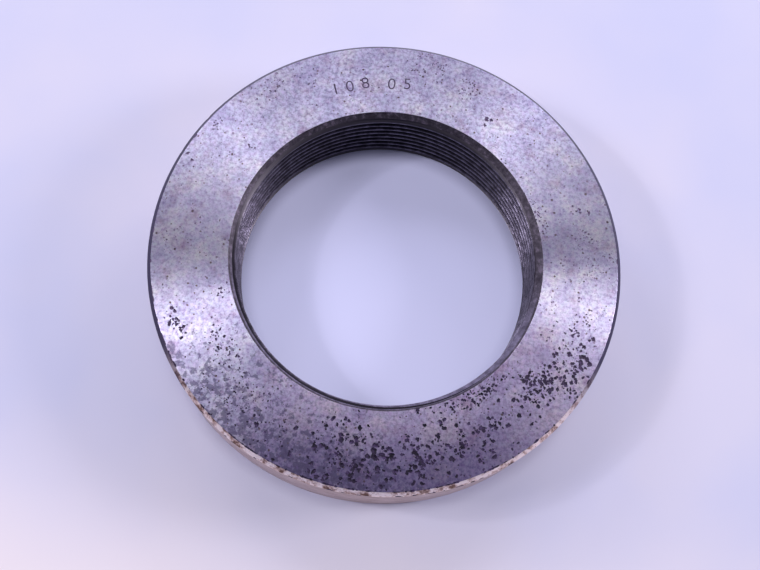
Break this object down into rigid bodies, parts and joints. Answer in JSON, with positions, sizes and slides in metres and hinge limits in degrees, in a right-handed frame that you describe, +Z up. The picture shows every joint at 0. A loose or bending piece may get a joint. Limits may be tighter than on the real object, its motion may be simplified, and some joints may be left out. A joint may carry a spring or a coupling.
{
  "type": "thread ring gauge",
  "caption": "Solid steel ring gauge with a right-handed internal metric thread, for checking the outside thread of a large screw or shaft end.",
  "frame": {"origin": "centre of the bore on the underside of the ring", "axes": "+Z up along the axis of the threaded bore, from the underside to the top face; +X to the right and +Y away from a viewer in front"},
  "size_m": [0.168, 0.168, 0.03],
  "materials": {
    "gauge_steel": "satin"
  },
  "bodies": {
    "root": {"gauge_ring": "gauge_steel"}
  },
  "joints": []
}
